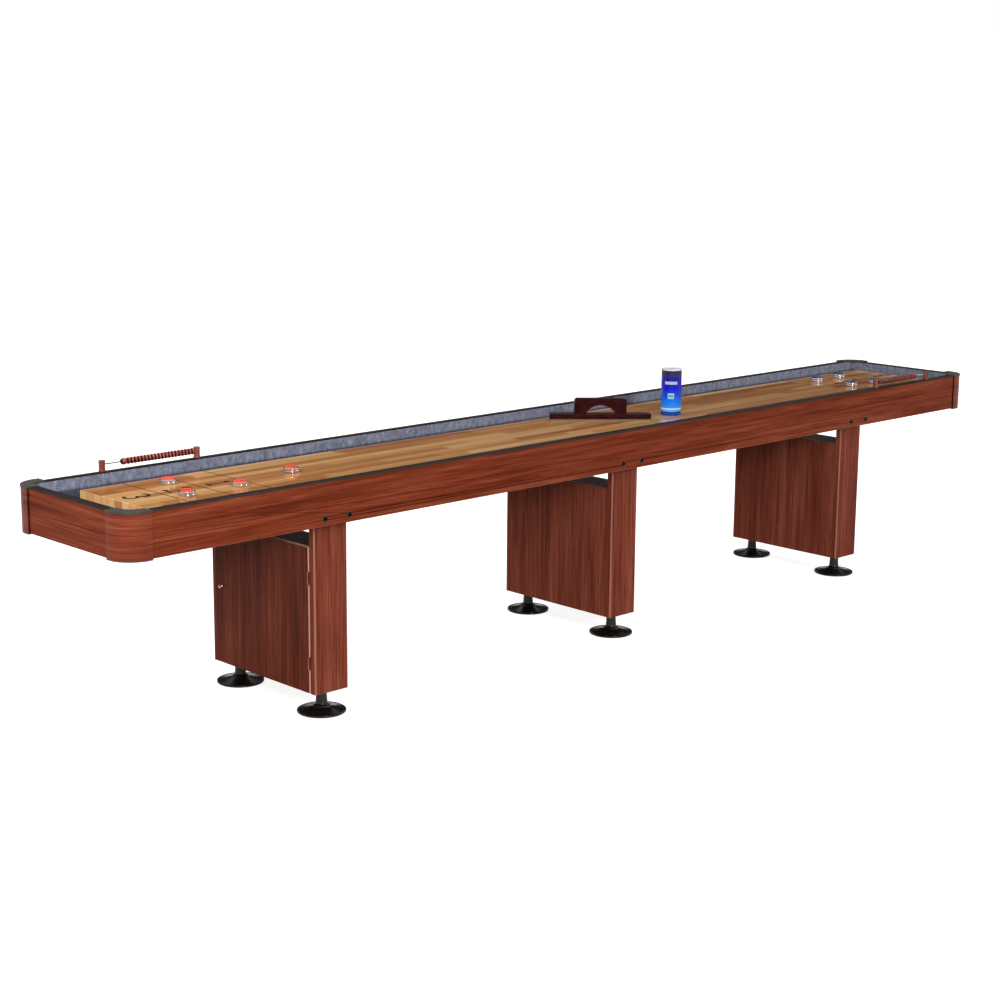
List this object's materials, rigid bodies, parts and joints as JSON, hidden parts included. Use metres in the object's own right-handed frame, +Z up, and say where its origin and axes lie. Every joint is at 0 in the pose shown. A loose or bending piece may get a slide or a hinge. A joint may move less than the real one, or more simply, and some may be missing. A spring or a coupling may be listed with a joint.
{
  "type": "shuffleboard table",
  "caption": "Long table with rounded corners, a lacquered playfield in a carpeted gutter, three box legs with storage doors, bead scorers, and a loose game set.",
  "frame": {"origin": "on the floor, under the middle of the table", "axes": "+X along the table, +Y across it to the back, +Z up; the row faces -Y"},
  "size_m": [4.277, 0.624, 0.922],
  "materials": {
    "rail_laminate": "cherry laminate, satin",
    "post_laminate": "cherry laminate, satin",
    "leg_laminate": "cherry laminate, satin",
    "door_laminate": "cherry laminate with pale edge band",
    "cap_plastic": "moulded, satin",
    "rim_strip": "dark edge strip, satin",
    "carpet": "short heathered pile",
    "floor_board": "bare board",
    "playfield_maple": "butcher block under clear gloss lacquer",
    "pine": "bare softwood",
    "zinc_steel": "zinc plated",
    "black_steel": "black oxide",
    "foot_plastic": "gloss black moulding",
    "knob_metal": "antique copper plate",
    "catch_plastic": "brown moulding",
    "scorer_wood": "red-brown, polished",
    "rod_steel": "polished",
    "brush_wood": "dark mahogany stain, gloss lacquer",
    "bristle": "pale bristle",
    "can_print": "blue printed tin",
    "can_lid_plastic": "white moulding",
    "puck_steel": "polished chrome",
    "red_cap": "moulded",
    "blue_cap": "moulded",
    "score_print": "printed line under the lacquer"
  },
  "bodies": {
    "cabinet": {"side_rail_front": "rail_laminate", "side_rail_back": "rail_laminate", "end_rail_left": "rail_laminate", "end_rail_right": "rail_laminate", "corner_posts": "post_laminate", "corner_caps": "cap_plastic", "rim_strips": "rim_strip", "gutter_lining_front": "carpet", "gutter_lining_back": "carpet", "gutter_lining_ends": "carpet", "gutter_carpet": "carpet", "cabinet_floor": "floor_board", "corner_brackets": "zinc_steel", "leveler_t_nuts": "zinc_steel", "playfield": "playfield_maple", "playfield_supports": "pine", "leg_left_front_panel": "leg_laminate", "leg_left_back_panel": "leg_laminate", "leg_middle_front_panel": "leg_laminate", "leg_middle_back_panel": "leg_laminate", "leg_right_front_panel": "leg_laminate", "leg_right_back_panel": "leg_laminate", "leg_side_panels": "leg_laminate", "leg_top_panels": "leg_laminate", "leg_base_panels": "leg_laminate", "leg_bolts": "black_steel", "door_catches": "catch_plastic", "left_hinge_frame_halves": "zinc_steel", "right_hinge_frame_halves": "zinc_steel", "scorer_posts": "scorer_wood", "scorer_rods": "rod_steel"},
    "leveler_left_front": {"leveler_left_front": "foot_plastic"},
    "leveler_left_back": {"leveler_left_back": "foot_plastic"},
    "leveler_middle_front": {"leveler_middle_front": "foot_plastic"},
    "leveler_middle_back": {"leveler_middle_back": "foot_plastic"},
    "leveler_right_front": {"leveler_right_front": "foot_plastic"},
    "leveler_right_back": {"leveler_right_back": "foot_plastic"},
    "left_door": {"left_door": "door_laminate", "left_hinge_door_halves": "zinc_steel", "left_door_knob": "knob_metal"},
    "left_scorer_beads": {"left_scorer_beads": "scorer_wood"},
    "left_scorer_lead_bead": {"left_scorer_lead_bead": "scorer_wood"},
    "right_door": {"right_door": "door_laminate", "right_hinge_door_halves": "zinc_steel", "right_door_knob": "knob_metal"},
    "right_scorer_beads": {"right_scorer_beads": "scorer_wood"},
    "right_scorer_lead_bead": {"right_scorer_lead_bead": "scorer_wood"},
    "brush": {"brush_block": "brush_wood", "brush_handle": "brush_wood", "brush_bristles": "bristle"},
    "wax_can": {"wax_can": "can_print"},
    "wax_can_lid": {"wax_can_lid": "can_lid_plastic"},
    "red_puck_1": {"red_puck_1": "puck_steel"},
    "red_puck_2": {"red_puck_2": "puck_steel"},
    "red_puck_3": {"red_puck_3": "puck_steel"},
    "red_puck_4": {"red_puck_4": "puck_steel"},
    "blue_puck_1": {"blue_puck_1": "puck_steel"},
    "blue_puck_2": {"blue_puck_2": "puck_steel"},
    "blue_puck_3": {"blue_puck_3": "puck_steel"},
    "blue_puck_4": {"blue_puck_4": "puck_steel"}
  },
  "joints": [
    {"name": "leveler_left_front_screw", "type": "slide", "parent": "cabinet", "child": "leveler_left_front", "axis": [0, 0, -1], "range_m": [0, 0.018]},
    {"name": "leveler_left_back_screw", "type": "slide", "parent": "cabinet", "child": "leveler_left_back", "axis": [0, 0, -1], "range_m": [0, 0.018]},
    {"name": "leveler_middle_front_screw", "type": "slide", "parent": "cabinet", "child": "leveler_middle_front", "axis": [0, 0, -1], "range_m": [0, 0.018]},
    {"name": "leveler_middle_back_screw", "type": "slide", "parent": "cabinet", "child": "leveler_middle_back", "axis": [0, 0, -1], "range_m": [0, 0.018]},
    {"name": "leveler_right_front_screw", "type": "slide", "parent": "cabinet", "child": "leveler_right_front", "axis": [0, 0, -1], "range_m": [0, 0.018]},
    {"name": "leveler_right_back_screw", "type": "slide", "parent": "cabinet", "child": "leveler_right_back", "axis": [0, 0, -1], "range_m": [0, 0.018]},
    {"name": "left_door_hinge", "type": "hinge", "parent": "cabinet", "child": "left_door", "pos_m": [-1.4334, -0.24675, 0.318], "axis": [0, 0, 1], "range_deg": [0, 110]},
    {"name": "left_beads_slide", "type": "slide", "parent": "cabinet", "child": "left_scorer_beads", "axis": [-1, 0, 0], "range_m": [0, 0.0285]},
    {"name": "left_lead_bead_slide", "type": "slide", "parent": "left_scorer_beads", "child": "left_scorer_lead_bead", "axis": [-1, 0, 0], "range_m": [0, 0.0285]},
    {"name": "right_door_hinge", "type": "hinge", "parent": "cabinet", "child": "right_door", "pos_m": [1.4334, 0.24675, 0.318], "axis": [0, 0, 1], "range_deg": [0, 110]},
    {"name": "right_beads_slide", "type": "slide", "parent": "cabinet", "child": "right_scorer_beads", "axis": [1, 0, 0], "range_m": [0, 0.0285]},
    {"name": "right_lead_bead_slide", "type": "slide", "parent": "right_scorer_beads", "child": "right_scorer_lead_bead", "axis": [1, 0, 0], "range_m": [0, 0.0285]},
    {"name": "red_puck_1_slide", "type": "slide", "parent": "cabinet", "child": "red_puck_1", "axis": [1, 0, 0], "range_m": [-0.18, 1.2]},
    {"name": "red_puck_2_slide", "type": "slide", "parent": "cabinet", "child": "red_puck_2", "axis": [1, 0, 0], "range_m": [-0.13, 0.14]},
    {"name": "red_puck_3_slide", "type": "slide", "parent": "cabinet", "child": "red_puck_3", "axis": [1, 0, 0], "range_m": [-0.14, 1.2]},
    {"name": "red_puck_4_slide", "type": "slide", "parent": "cabinet", "child": "red_puck_4", "axis": [1, 0, 0], "range_m": [-0.5, 1.1]},
    {"name": "blue_puck_1_slide", "type": "slide", "parent": "cabinet", "child": "blue_puck_1", "axis": [1, 0, 0], "range_m": [-1, 0.1]},
    {"name": "blue_puck_2_slide", "type": "slide", "parent": "cabinet", "child": "blue_puck_2", "axis": [1, 0, 0], "range_m": [-0.1, 0.2]},
    {"name": "blue_puck_3_slide", "type": "slide", "parent": "cabinet", "child": "blue_puck_3", "axis": [1, 0, 0], "range_m": [-1, 0.08]},
    {"name": "blue_puck_4_slide", "type": "slide", "parent": "cabinet", "child": "blue_puck_4", "axis": [1, 0, 0], "range_m": [-0.08, 0.22]},
    {"name": "brush_sweep", "type": "slide", "parent": "cabinet", "child": "brush", "axis": [1, 0, 0], "range_m": [-0.3, 0.08]},
    {"name": "can_lift", "type": "slide", "parent": "cabinet", "child": "wax_can", "axis": [0, 0, 1], "range_m": [0, 0.12]},
    {"name": "can_lid_lift", "type": "slide", "parent": "wax_can", "child": "wax_can_lid", "axis": [0, 0, 1], "range_m": [0, 0.04]}
  ]
}
